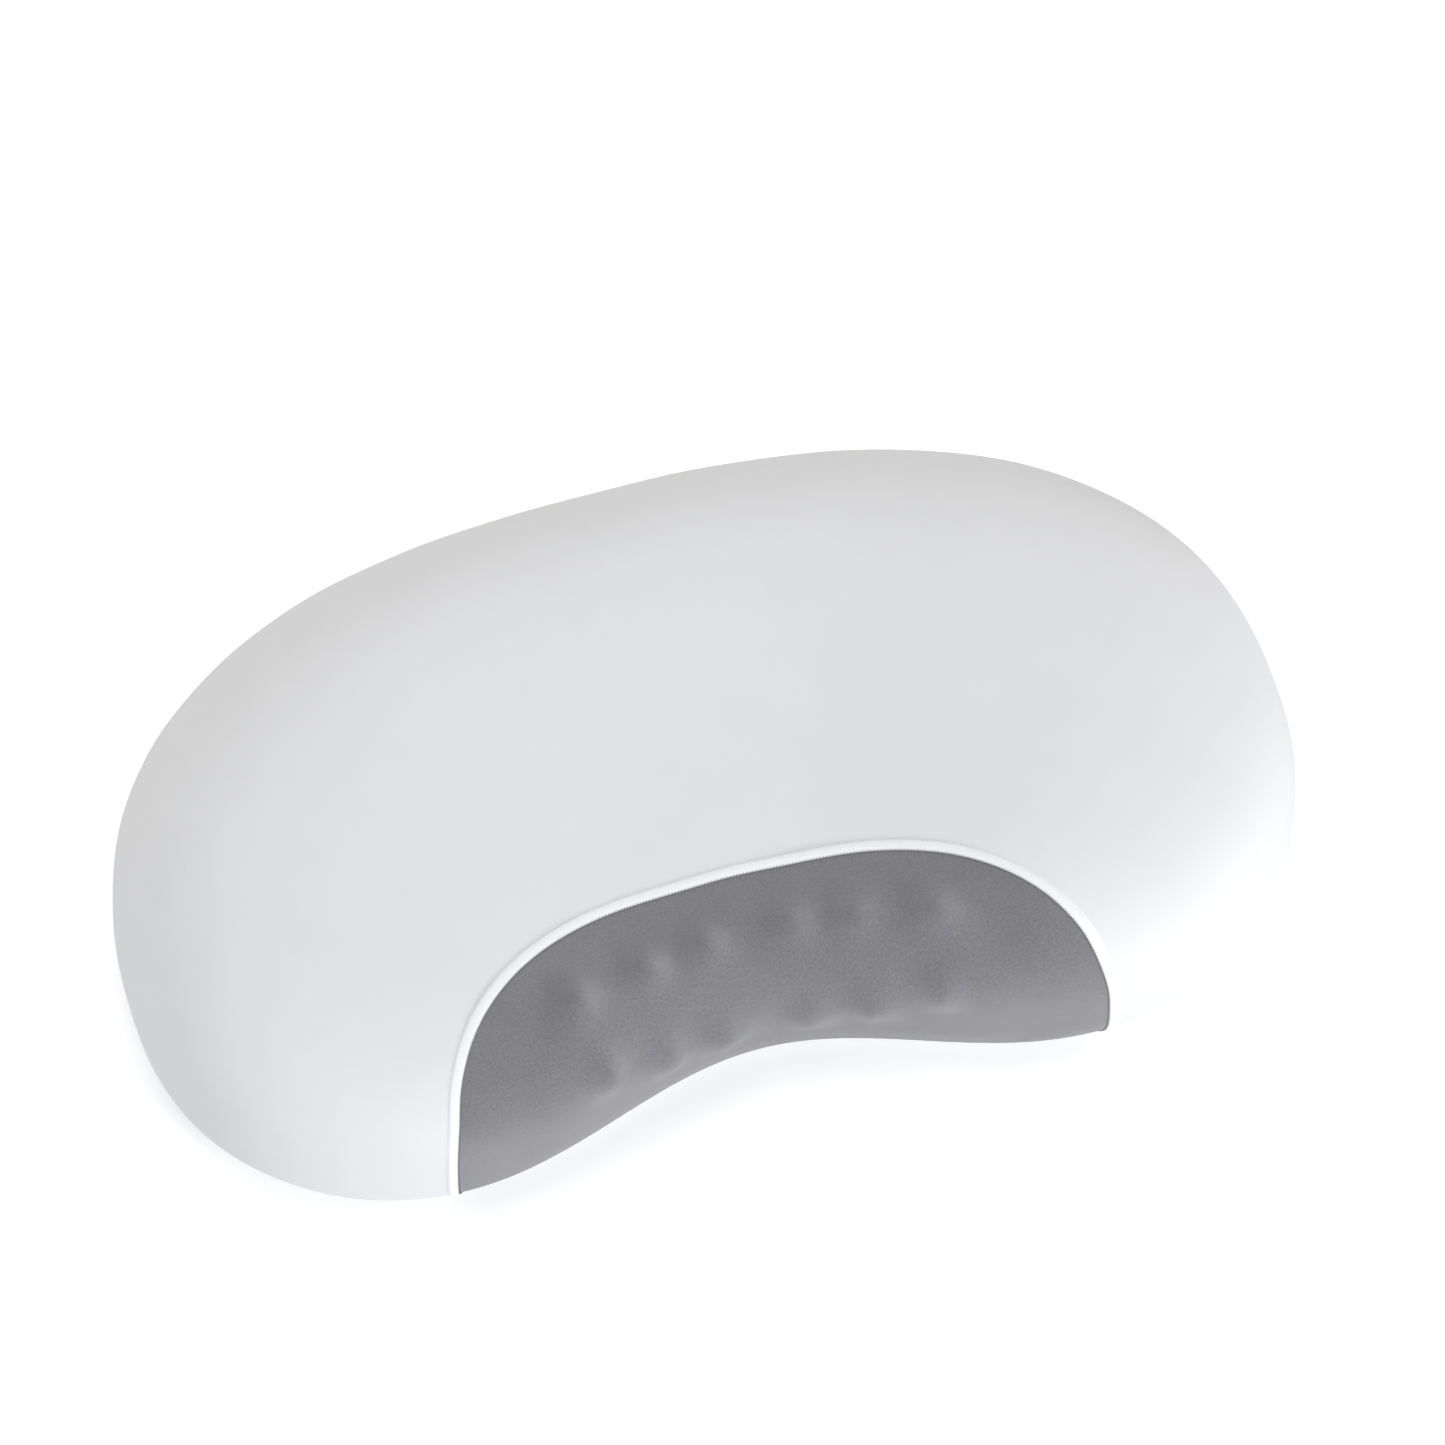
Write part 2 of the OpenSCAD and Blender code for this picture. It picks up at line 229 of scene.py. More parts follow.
def skin_normal(u, f):
    """Direction straight out of the skin; the two middle lines face straight up and down."""
    along, down = slopes(u, f)
    middle = np.stack(np.broadcast_arrays(0.0, 0.0, np.where(f < WIDEST_F, 1.0, -1.0) + 0 * u), axis=-1)
    on_middle = ((f <= 0) | (f >= 180))[..., None]
    return np.where(on_middle, middle, unit(np.cross(down, along)))


def crown(u):
    """Row angle of the grey panel's upper edge: low in the middle, with round shoulders."""
    t = np.minimum(np.abs(u - NECK_U) / PANEL_HALF, 1)
    top = CROWN_TOP + CROWN_DIP * np.exp(-((u - NECK_U) / CROWN_DIP_W) ** 2)
    return LEG_TOP - (LEG_TOP - top) * (1 - t ** CROWN_SIDE_POWER) ** CROWN_TOP_POWER


def bowed(u, f):
    """Columns beside the panel's legs swing a little outwards below its shoulders."""
    beside = np.exp(-((np.abs(u - NECK_U) - PANEL_HALF) / LEG_BOW_U) ** 2)
    beside = beside * np.exp(-((f - LEG_BOW_F) / LEG_BOW_H) ** 2)
    return u + LEG_BOW * np.sign(u - NECK_U) * beside


REACH_STEPS = 28
REACH_POWER = 0.44  # close to 2 / TOP_OUT_N, so the steps across the top are nearly even


def reach_from(u, f, pole):
    """Distance along the surface from the pole row, 0 on top or 180 below, to the row f."""
    edge = np.abs(np.sin(np.radians(f))) ** REACH_POWER
    total = np.zeros(np.broadcast(u, f).shape)
    before = skin(u, pole + 0 * f)
    for i in range(1, REACH_STEPS + 1):
        share = i / REACH_STEPS
        if pole == 0:
            near = np.degrees(np.arcsin(np.clip((edge * share) ** (1 / REACH_POWER), 0, 1)))
            row = np.where(f <= WIDEST_F, near, f * share)
        else:
            row = 180 - (180 - f) * share
        here = skin(u, row)
        total += np.linalg.norm(here - before, axis=-1)
        before = here
    return total


def cloth_place(u, f, pole=0):
    """Where a point of the skin lies on the flat cloth before it was stretched over, in mm."""
    cx, cy = middle_line(u)
    x, y = outline(u)
    away = unit(np.stack([x - cx, y - cy, 0 * x], axis=-1))
    far = reach_from(u, f, pole)[..., None]
    return (np.stack([cx, cy, 0 * cx], axis=-1) + away * far) / MM


# ======================= meshes =======================

def link(name, mesh, material):
    piece = bpy.data.objects.new(name, mesh)
    bpy.context.scene.collection.objects.link(piece)
    mesh.materials.append(material)
    mesh.shade_smooth()
    return piece


def add_piece(name, points, faces, material, cloth=None):
    """A mesh object; points that meet are merged, and cloth is its place on the flat fabric."""
    points = np.asarray(points, float).reshape(-1, 3)
    used = np.unique(np.concatenate([np.ravel(face) for face in faces]))
    keys = np.full(len(points), -1)
    _, first, group = np.unique(np.round(points[used], 8), axis=0,
                                return_index=True, return_inverse=True)
    keys[used] = np.ravel(group)
    kept = used[first]
    corners = []
    for face in faces:
        ring = [int(keys[i]) for i in np.ravel(face)]
        ring = [v for i, v in enumerate(ring) if v != ring[i - 1]]
        if len(ring) > 2:
            corners.append(ring)
    mesh = bpy.data.meshes.new(name)
    mesh.from_pydata(points[kept].tolist(), [], corners)
    if cloth is not None:
        layer = mesh.attributes.new("cloth", "FLOAT_VECTOR", "POINT")
        layer.data.foreach_set("vector", np.asarray(cloth, float).reshape(-1, 3)[kept].ravel())
    mesh.update()
    return link(name, mesh, material)


def shell_faces(covers, closed, poles=()):
    """Faces of a layer of cloth over the picked cells of a grid: outside, inside and edges.

    poles are the rows beyond the grid where front and back meet, so no edge is closed there.
    """
    n_row, n_col = covers.shape[0] + 1, covers.shape[1] + (0 if closed else 1)
    inside = n_row * n_col

    def at(j, k):
        return j * n_col + k % n_col

    def covered(j, k):
        if j < 0 or j >= covers.shape[0]:
            return j in poles
        if closed:
            return covers[j, k % covers.shape[1]]
        return 0 <= k < covers.shape[1] and covers[j, k]

    faces = []
    for j, k in zip(*np.nonzero(covers)):
        a, b, c, d = at(j, k), at(j, k + 1), at(j + 1, k + 1), at(j + 1, k)
        faces.append((a, b, c, d))
        faces.append((inside + d, inside + c, inside + b, inside + a))
        if not covered(j - 1, k):
            faces.append((b, a, inside + a, inside + b))
        if not covered(j, k + 1):
            faces.append((c, b, inside + b, inside + c))
        if not covered(j + 1, k):
            faces.append((d, c, inside + c, inside + d))
        if not covered(j, k - 1):
            faces.append((a, d, inside + d, inside + a))
    return faces


def cloth_shell(name, outer, normals, thickness, covers, material, cloth, closed=True, poles=()):
    """A layer of cloth between the outer points and a thickness inside them."""
    inner = outer - normals * thickness
    points = np.concatenate([outer.reshape(-1, 3), inner.reshape(-1, 3)])
    places = np.concatenate([cloth.reshape(-1, 3)] * 2)
    return add_piece(name, points, shell_faces(covers, closed, poles), material, places)


def sweep_faces(n_ring, n_side, closed):
    """Faces that join rings of n_side points in a row, with the ends capped or joined."""
    faces = []
    for i in range(n_ring if closed else n_ring - 1):
        here, after = i * n_side, (i + 1) % n_ring * n_side
        for k in range(n_side):
            m = (k + 1) % n_side
            faces.append((here + k, here + m, after + m, after + k))
    if not closed:
        faces.append(tuple(range(n_side))[::-1])
        faces.append(tuple((n_ring - 1) * n_side + k for k in range(n_side)))
    return faces


def tube_points(path, radius, sides=6):
    """Rings round a path, each square to it."""
    forward = unit(np.gradient(path, axis=0))
    hint = np.where(np.abs(forward[:, 2:3]) < 0.9, [[0.0, 0.0, 1.0]], [[1.0, 0.0, 0.0]])
    side = unit(np.cross(forward, hint))
    up = np.cross(side, forward)
    turn = np.arange(sides) * 2 * np.pi / sides
    ring = (side[:, None] * np.cos(turn)[None, :, None]
            + up[:, None] * np.sin(turn)[None, :, None])
    return path[:, None] + ring * radius


def add_tubes(name, paths, radius, material, closed=False, sides=6):
    """One piece made of many threads of the same thickness."""
    points, faces, count = [], [], 0
    for path in paths:
        path = np.asarray(path)
        if closed:
            path = np.concatenate([path[-2:], path, path[:2]])
        rings = tube_points(path, radius, sides)
        if closed:
            rings = rings[2:-2]
        points.append(rings.reshape(-1, 3))
        faces += [tuple(count + v for v in face)
                  for face in sweep_faces(len(rings), sides, closed)]
        count += len(rings) * sides
    return add_piece(name, np.concatenate(points), faces, material)


# ======================= materials =======================

# Sockets of the Map Range node: the number inputs come first, then the vector inputs.
RANGE_VALUE, RANGE_LIMITS = 0, slice(1, 5)
RANGE_VECTOR, RANGE_VECTOR_LIMITS = 6, slice(7, 11)
# Most of a noise texture lies between these values.
NOISE_LOW, NOISE_HIGH = 0.3, 0.7
# Shares of the loops and clouds in the tone of a knit, and the tones of its two colours.
LOOP_SHARE = 0.4
CLOUD_SHARE = 0.35
TONE_LOW = 0.15
TONE_SPAN = 0.6
CLOUDS_PER_MM = 0.035
FUZZ_PER_MM = 5.0
# How far a loop's legs lean, and the shares of its legs and its head in its height.
LOOP_LEAN = 1.3
LEG_HEIGHT = 0.7
HEAD_HEIGHT = 0.3


class Nodes:
    """Small helper that adds and joins shader nodes."""

    def __init__(self, name):
        self.material = bpy.data.materials.new(name)
        self.material.use_nodes = True
        self.tree = self.material.node_tree
        self.shader = self.tree.nodes["Principled BSDF"]

    def add(self, kind, **values):
        node = self.tree.nodes.new(kind)
        for key, value in values.items():
            setattr(node, key, value)
        return node

    def join(self, out, into):
        self.tree.links.new(out, into)

    def math(self, operation, a, b=None):
        node = self.add("ShaderNodeMath", operation=operation)
        for socket, value in zip(node.inputs, (a, b)):
            if value is None:
                continue
            if isinstance(value, (int, float)):
                socket.default_value = value
            else:
                self.join(value, socket)
        return node.outputs[0]

    def noise(self, vector, scale, detail=2.0, roughness=0.5):
        node = self.add("ShaderNodeTexNoise")
        node.inputs["Scale"].default_value = scale
        node.inputs["Detail"].default_value = detail
        node.inputs["Roughness"].default_value = roughness
        self.join(vector, node.inputs["Vector"])
        return node.outputs["Fac"]

    def object_place(self):
        return self.add("ShaderNodeTexCoord").outputs["Object"]

    def cloth_place(self):
        return self.add("ShaderNodeAttribute", attribute_name="cloth").outputs["Vector"]

    def colour(self, value, low, high, low_colour, high_colour):
        """Base colour that goes from one colour to another as value goes from low to high."""
        node = self.add("ShaderNodeMapRange")
        node.data_type = "FLOAT_VECTOR"
        limits = ((low,) * 3, (high,) * 3, low_colour, high_colour)
        for socket, limit in zip(node.inputs[RANGE_VECTOR_LIMITS], limits):
            socket.default_value = limit
        self.join(value, node.inputs[RANGE_VECTOR])
        self.join(node.outputs["Vector"], self.shader.inputs["Base Color"])

    def roughness(self, value, low, high, to_low, to_high):
        """Roughness that goes from one number to another as value goes from low to high."""
        node = self.add("ShaderNodeMapRange")
        for socket, number in zip(node.inputs[RANGE_LIMITS], (low, high, to_low, to_high)):
            socket.default_value = number
        self.join(value, node.inputs[RANGE_VALUE])
        self.join(node.outputs["Result"], self.shader.inputs["Roughness"])

    def bump(self, height, distance, strength, under=None):
        node = self.add("ShaderNodeBump")
        node.inputs["Distance"].default_value = distance
        node.inputs["Strength"].default_value = strength
        self.join(height, node.inputs["Height"])
        if under is not None:
            self.join(under, node.inputs["Normal"])
        return node.outputs["Normal"]

    def relief(self, height, distance, strength):
        self.join(self.bump(height, distance, strength), self.shader.inputs["Normal"])

    def set(self, **values):
        for key, value in values.items():
            self.shader.inputs[key.replace("_", " ")].default_value = value


def knit_height(nodes, place, wale, course):
    """Height of jersey knit: columns of V-shaped loops, wale wide and course high, in mm."""
    parts = nodes.add("ShaderNodeSeparateXYZ")
    nodes.join(place, parts.inputs[0])
    column = nodes.math("FRACT", nodes.math("DIVIDE", parts.outputs["X"], wale))
    off_centre = nodes.math("ABSOLUTE", nodes.math("SUBTRACT", column, 0.5))
    leaning = nodes.math("MULTIPLY", off_centre, LOOP_LEAN)
    row = nodes.math("ADD", nodes.math("DIVIDE", parts.outputs["Y"], course), leaning)
    loop = nodes.math("SINE", nodes.math("MULTIPLY", nodes.math("FRACT", row), math.pi))
    leg = nodes.math("SINE", nodes.math("MULTIPLY", off_centre, 2 * math.pi))
    across = nodes.math("ADD", nodes.math("MULTIPLY", leg, LEG_HEIGHT), HEAD_HEIGHT)
    return nodes.math("MULTIPLY", loop, across)


def knit_material(name, low, high, wale, course, grain, bump_mm, sheen, grain_mm=0.6):
    """Fine jersey: loops, uneven yarn, a little fuzz, cloudy colour and a soft sheen."""
    nodes = Nodes(name)
    place = nodes.cloth_place()
    loops = knit_height(nodes, place, wale, course)
    cloud = nodes.noise(place, CLOUDS_PER_MM, 3.0)
    yarn = nodes.noise(place, 1 / grain_mm)
    tone = nodes.math("ADD", nodes.math("MULTIPLY", loops, LOOP_SHARE),
                      nodes.math("MULTIPLY", cloud, CLOUD_SHARE))
    tone = nodes.math("ADD", tone, nodes.math("MULTIPLY", yarn, grain))
    nodes.colour(tone, TONE_LOW, TONE_LOW + TONE_SPAN + grain, low, high)
    fuzz = nodes.bump(nodes.noise(place, FUZZ_PER_MM), 0.04 * MM, 0.5)
    nodes.join(nodes.bump(loops, bump_mm * MM, 0.9, fuzz), nodes.shader.inputs["Normal"])
    nodes.roughness(yarn, NOISE_LOW, NOISE_HIGH, 0.78, 0.9)
    nodes.set(Sheen_Weight=sheen, Sheen_Roughness=0.45, Specular_IOR_Level=0.25)
    return nodes.material


def thread_material(name, low, high):
    """Twisted polyester thread."""
    nodes = Nodes(name)
    place = nodes.object_place()
    twist = nodes.noise(place, 2600, 1.0)
    nodes.colour(twist, 0.35, 0.65, low, high)
    nodes.relief(twist, 0.05 * MM, 0.6)
    nodes.set(Roughness=0.55, Sheen_Weight=0.2, Specular_IOR_Level=0.35)
    return nodes.material


def woven_tape_material():
    """Herringbone tape of the zip."""
    nodes = Nodes("zip_tape_weave")
    parts = nodes.add("ShaderNodeSeparateXYZ")
    nodes.join(nodes.cloth_place(), parts.inputs[0])
    stripe_mm = 0.8
    twill_mm = 0.5
    stripe = nodes.math("PINGPONG", parts.outputs["Y"], stripe_mm)
    rows = nodes.math("DIVIDE", parts.outputs["X"], twill_mm)
    twill = nodes.math("FRACT", nodes.math("ADD", rows, stripe))
    ridge = nodes.math("SINE", nodes.math("MULTIPLY", twill, math.pi))
    nodes.colour(ridge, 0.0, 1.0, (0.6, 0.6, 0.61), (0.78, 0.78, 0.79))
    nodes.relief(ridge, 0.12 * MM, 0.8)
    nodes.set(Roughness=0.82, Specular_IOR_Level=0.25)
    return nodes.material


def nylon_material():
    """Clear-grey nylon filament, a little translucent."""
    nodes = Nodes("zip_coil_nylon")
    tone = nodes.noise(nodes.object_place(), 300)
    nodes.colour(tone, NOISE_LOW, NOISE_HIGH, (0.72, 0.72, 0.73), (0.83, 0.83, 0.84))
    nodes.roughness(tone, NOISE_LOW, NOISE_HIGH, 0.32, 0.45)
    nodes.set(Specular_IOR_Level=0.5, Subsurface_Weight=0.1)
    return nodes.material


def plated_metal_material():
    """Nickel-plated zinc with a brushed haze and fine scratches."""
    nodes = Nodes("nickel_plate")
    place = nodes.object_place()
    haze = nodes.noise(place, 180, 4.0, 0.6)
    scratch = nodes.add("ShaderNodeTexNoise")
    stretched = nodes.add("ShaderNodeMapping")
    stretched.inputs["Scale"].default_value = (300, 2500, 2500)
    nodes.join(place, stretched.inputs["Vector"])
    nodes.join(stretched.outputs[0], scratch.inputs["Vector"])
    nodes.colour(haze, NOISE_LOW, NOISE_HIGH, (0.56, 0.56, 0.57), (0.72, 0.72, 0.73))
    nodes.roughness(haze, NOISE_LOW, 0.75, 0.16, 0.36)
    nodes.relief(scratch.outputs["Fac"], 0.01 * MM, 0.4)
    nodes.set(Metallic=1.0)
    return nodes.material


def rubber_material(name, low, high):
    """Moulded soft rubber with a fine spark texture and rubbed patches."""
    nodes = Nodes(name)
    place = nodes.object_place()
    rubbed = nodes.noise(place, 60, 3.0)
    nodes.colour(rubbed, NOISE_LOW, NOISE_HIGH, low, high)
    nodes.roughness(rubbed, NOISE_LOW, NOISE_HIGH, 0.5, 0.7)
    nodes.relief(nodes.noise(place, 1400), 0.05 * MM, 0.5)
    return nodes.material


def foam_material():
    """Open-cell foam: small pores and a little yellowing."""
    nodes = Nodes("memory_foam")
    place = nodes.object_place()
    cells = nodes.add("ShaderNodeTexVoronoi", feature="SMOOTH_F1")
    cells.inputs["Scale"].default_value = 900
    nodes.join(place, cells.inputs["Vector"])
    tone = nodes.noise(place, 14, 3.0)
    nodes.colour(tone, NOISE_LOW, NOISE_HIGH, (0.80, 0.73, 0.55), (0.88, 0.83, 0.69))
    nodes.relief(cells.outputs["Distance"], 0.4 * MM, 0.7)
    nodes.set(Roughness=0.95, Specular_IOR_Level=0.15)
    return nodes.material


def satin_material():
    """Blank satin ribbon for the label."""
    nodes = Nodes("label_satin")
    parts = nodes.add("ShaderNodeSeparateXYZ")
    nodes.join(nodes.cloth_place(), parts.inputs[0])
    rib_mm = 0.35
    rib = nodes.math("SINE", nodes.math("MULTIPLY", parts.outputs["Y"], 2 * math.pi / rib_mm))
    tone = nodes.noise(nodes.cloth_place(), 0.25)
    nodes.colour(tone, NOISE_LOW, NOISE_HIGH, (0.79, 0.79, 0.78), (0.83, 0.83, 0.82))
    nodes.relief(rib, 0.03 * MM, 0.6)
    nodes.set(Roughness=0.4, Sheen_Weight=0.3)
    return nodes.material


WHITE_KNIT = knit_material("white_knit", (0.745, 0.748, 0.765), (0.80, 0.803, 0.82),
                           wale=0.55, course=0.42, grain=0.2, bump_mm=0.14, sheen=0.08)
GREY_KNIT = knit_material("grey_knit", (0.095, 0.092, 0.102), (0.322, 0.318, 0.340),
                          wale=0.6, course=0.45, grain=1.2, bump_mm=0.2, sheen=0.6, grain_mm=1.3)
BINDING_KNIT = knit_material("binding_knit", (0.84, 0.845, 0.87), (0.88, 0.885, 0.91),
                             wale=0.5, course=0.4, grain=0.2, bump_mm=0.12, sheen=0.2)
LINER_KNIT = knit_material("liner_jersey", (0.74, 0.74, 0.71), (0.82, 0.82, 0.79),
                           wale=0.9, course=0.7, grain=0.3, bump_mm=0.1, sheen=0.1)
WHITE_THREAD = thread_material("white_thread", (0.70, 0.70, 0.72), (0.84, 0.84, 0.86))
GREY_THREAD = thread_material("grey_thread", (0.11, 0.11, 0.12), (0.2, 0.2, 0.21))
ZIP_TAPE = woven_tape_material()
NYLON = nylon_material()
METAL = plated_metal_material()
PAD_RUBBER = rubber_material("pad_rubber", (0.035, 0.038, 0.045), (0.06, 0.064, 0.074))
NUB_RUBBER = rubber_material("nub_rubber", (0.06, 0.07, 0.085), (0.1, 0.11, 0.13))
FOAM = foam_material()
SATIN = satin_material()


# ======================= camera, light and floor =======================

AZIMUTH = math.radians(-16)
ELEVATION = math.radians(61)
VIEW_DISTANCE = 10.0
VIEW_WIDTH = 0.7247
AIM_RIGHT = 8.7 * MM
AIM_UP = 63.5 * MM
AIM_Z = 50 * MM
SENSOR_MM = 36
STUDIO_LEFT = 0.76
STUDIO_RIGHT = 0.75
STUDIO_TINT = (0.95, 0.972, 1.0, 1)
STUDIO_TINT_BEHIND = (0.98, 0.91, 0.79, 1)
LIGHT_AIM = (0.0, 0, 0.05)
KEY_PLACE = (1.35, -2.2, 0.75)
KEY_SIZE = 0.7
KEY_POWER = 38
TOP_PLACE = (-0.3, 0.1, 2.6)
TOP_SIZE = 1.6
TOP_POWER = 20
FLOOR_HALF = 6.0
FLOOR_Z = -0.4 * MM


def place_camera():
    """A long lens, far away, so that lines stay nearly parallel."""
    sin_a, cos_a = math.sin(AZIMUTH), math.cos(AZIMUTH)
    sin_e, cos_e = math.sin(ELEVATION), math.cos(ELEVATION)
    right = Vector((cos_a, sin_a, 0))
    up = Vector((-sin_a * sin_e, cos_a * sin_e, cos_e))
    back = Vector((sin_a * cos_e, -cos_a * cos_e, sin_e))
    aim = Vector((0, -ORIGIN_Y, AIM_Z)) + right * AIM_RIGHT + up * AIM_UP
    camera = bpy.data.objects.new("camera", bpy.data.cameras.new("camera"))
    bpy.context.scene.collection.objects.link(camera)
    camera.data.sensor_width = SENSOR_MM
    camera.data.lens = SENSOR_MM * VIEW_DISTANCE / VIEW_WIDTH
    camera.data.clip_end = 4 * VIEW_DISTANCE
    camera.location = aim + back * VIEW_DISTANCE
    camera.rotation_euler = back.to_track_quat("Z", "Y").to_euler()
    bpy.context.scene.camera = camera


def area_light(name, place, size, power):
    """A round light that faces the pillow."""
    light = bpy.data.objects.new(name, bpy.data.lights.new(name, "AREA"))
    bpy.context.scene.collection.objects.link(light)
    light.data.shape = "DISK"
    light.data.size = size
    light.data.energy = power
    light.location = place
    toward = Vector(LIGHT_AIM) - Vector(place)
    light.rotation_euler = toward.to_track_quat("-Z", "Y").to_euler()


def place_lights():
    """White studio, warmer behind the pillow, with a low key light and a soft overhead one."""
    world = bpy.data.worlds.new("studio")
    world.use_nodes = True
    tree = world.node_tree
    background = tree.nodes["Background"]
    direction = tree.nodes.new("ShaderNodeTexCoord")
    parts = tree.nodes.new("ShaderNodeSeparateXYZ")
    tint = tree.nodes.new("ShaderNodeMix")
    tint.data_type = "RGBA"
    tint.inputs["A"].default_value = STUDIO_TINT
    tint.inputs["B"].default_value = STUDIO_TINT_BEHIND
    tree.links.new(direction.outputs["Generated"], parts.inputs[0])
    tree.links.new(parts.outputs["Y"], tint.inputs["Factor"])
    tree.links.new(tint.outputs["Result"], background.inputs["Color"])
    fall = tree.nodes.new("ShaderNodeMapRange")
    for socket, number in zip(fall.inputs[RANGE_LIMITS], (-1, 1, STUDIO_LEFT, STUDIO_RIGHT)):
        socket.default_value = number
    tree.links.new(parts.outputs["X"], fall.inputs[RANGE_VALUE])
    tree.links.new(fall.outputs["Result"], background.inputs["Strength"])
    bpy.context.scene.world = world
    area_light("key", KEY_PLACE, KEY_SIZE, KEY_POWER)
    area_light("overhead", TOP_PLACE, TOP_SIZE, TOP_POWER)
    bpy.context.scene.view_settings.view_transform = "Standard"


def place_floor():
    """Pale floor that glows a little, so that it comes out white."""
    nodes = Nodes("pale_floor")
    tone = nodes.noise(nodes.object_place(), 3.0)
    nodes.colour(tone, NOISE_LOW, NOISE_HIGH, (0.84, 0.84, 0.845), (0.86, 0.86, 0.865))
    nodes.set(Roughness=0.9, Specular_IOR_Level=0.1, Emission_Strength=0.3)
    nodes.shader.inputs["Emission Color"].default_value = (1, 1, 1, 1)
    corners = [(x * FLOOR_HALF, y * FLOOR_HALF, FLOOR_Z)
               for x, y in ((-1, -1), (1, -1), (1, 1), (-1, 1))]
    mesh = bpy.data.meshes.new("floor")
    mesh.from_pydata(corners, [], [(0, 1, 2, 3)])
    link("floor", mesh, nodes.material)


place_camera()
place_lights()
place_floor()


# ======================= the grid =======================

# Columns are counted over a quarter of the outline: over half the panel, then on to its end.
COVER_INNER_COLUMNS = 36
COVER_OUTER_COLUMNS = 62
COVER_SPREAD = 1.35
PANEL_COLUMNS = 90
PANEL_ROWS = 130
PANEL_SPREAD = 1.15
TUCK_DEPTH = 0.25 * MM
TUCK_SHARE = 0.025
# Row angles of the white cover below its widest line, closer at the zip's slot and at the seam.
LOWER_ROWS = [92, 95, 98, 101, 103, 105, SLOT_ROWS[0], ZIP_ROW, SLOT_ROWS[1], 119, 121, 123, 125,
              126.5, 127.7, 128.6, 129.3, SEAM_F]
BASE_ROWS = np.concatenate([[SEAM_F, 130.7, 131.4, 132.3, 133.5, 135], np.arange(137, 166, 3.0),
                            [168, 171, 174, 176.5, 178.5, 180]])
FINE_STEPS = 2000


def spread(low, high, count, power):
    """Rows of numbers from low to high, closer together at low when power is over 1."""
    share = np.linspace(0, 1, count) ** power
    return low + (high - low) * share.reshape((-1,) + (1,) * np.ndim(low))


def column_of(x):
    """Angle u, between 270 and 360, of the column that ends at x."""
    return 360 - np.degrees(np.arccos(np.clip(x / (LENGTH / 2), 0, 1) ** (LOBE_N / 2)))


LEG_X = LENGTH / 2 * math.cos(math.radians(360 - RIGHT_LEG)) ** (2 / LOBE_N)


def half_panel(count):
    """Columns from the middle of the neck to the panel's right leg, closer at the leg."""
    return column_of(LEG_X * np.sin(np.linspace(0, math.pi / 2, count)))


def both_sides(half):
    """The columns of the right half with their mirror images, from left to right."""
    return np.concatenate([2 * NECK_U - half[:0:-1], half])


def cover_columns():
    """Columns of the white cover, all round: closer at the panel's legs than elsewhere."""
    inner = half_panel(COVER_INNER_COLUMNS)
    fine = np.linspace(RIGHT_LEG, 360, FINE_STEPS)
    ends = np.stack(outline(fine), axis=-1)
    run = np.concatenate([[0], np.cumsum(np.linalg.norm(np.diff(ends, axis=0), axis=1))])
    outer = np.interp(spread(0, run[-1], COVER_OUTER_COLUMNS, COVER_SPREAD), run, fine)
    front = both_sides(np.concatenate([inner, outer[1:]]))
    back = 360 - front[1:-1][::-1]
    return np.concatenate([front, back + 360])


COLUMNS = cover_columns()
IN_PANEL = (COLUMNS > LEFT_LEG - 1e-6) & (COLUMNS < RIGHT_LEG + 1e-6)


def rows_to(edge, count):
    """Rows from the middle line out to edge, evenly spaced across the top."""
    share = np.linspace(0, 1, count)[:, None]
    reach = np.abs(np.sin(np.radians(edge))) ** (2 / TOP_OUT_N) * share
    return np.degrees(np.arcsin(np.clip(reach ** (TOP_OUT_N / 2), 0, 1)))


def smooth(v, low, high):
    """Rises gently from 0 at low to 1 at high."""
    t = np.clip((v - low) / (high - low), 0, 1)
    return t * t * (3 - 2 * t)


def softness(points):
    """Slow unevenness of stuffed cloth, well under a millimetre."""
    waves = sum(share * np.sin(points @ first + shift) * np.cos(points @ second)
                for share, first, shift, second in SOFT_WAVES)
    return SOFT_DEPTH * waves


def seam_pinch(f, side):
    """How far the cloth is drawn in beside the base seam, on the side above (-1) or below (1)."""
    away = (f - SEAM_F) * side * PINCH_RUN
    return PINCH_DEPTH * np.exp(-(away / PINCH_WIDTH) ** 2)


# ======================= zip geometry =======================

ZIP_MID = skin(90.0, ZIP_ROW)
ZIP_CENTRE_Y = ZIP_MID[1] - ZIP_R


def zip_point(along, out, up):
    """A point on the zip: along its arc, out of the wall and up the wall, from the chain."""
    along, out, up = np.broadcast_arrays(along, out, up)
    out = out - ZIP_SINK
    radius = ZIP_R + out * math.cos(ZIP_TILT) + up * math.sin(ZIP_TILT)
    z = ZIP_MID[2] - out * math.sin(ZIP_TILT) + up * math.cos(ZIP_TILT)
    turn = along / ZIP_R
    return np.stack([radius * np.sin(turn), ZIP_CENTRE_Y + radius * np.cos(turn), z], axis=-1)


def zip_along(points):
    """Distance along the zip's arc, from its middle."""
    return np.arctan2(points[..., 0], points[..., 1] - ZIP_CENTRE_Y) * ZIP_R


def slot_half_length():
    """Half length of the slot: it ends on the first column of the cover past the zip's stops."""
    along = zip_along(skin(COLUMNS, ZIP_ROW))
    behind = np.sin(np.radians(COLUMNS)) > 0
    return along[behind & (along > STOP_END)].min()


SLOT_HALF = slot_half_length()


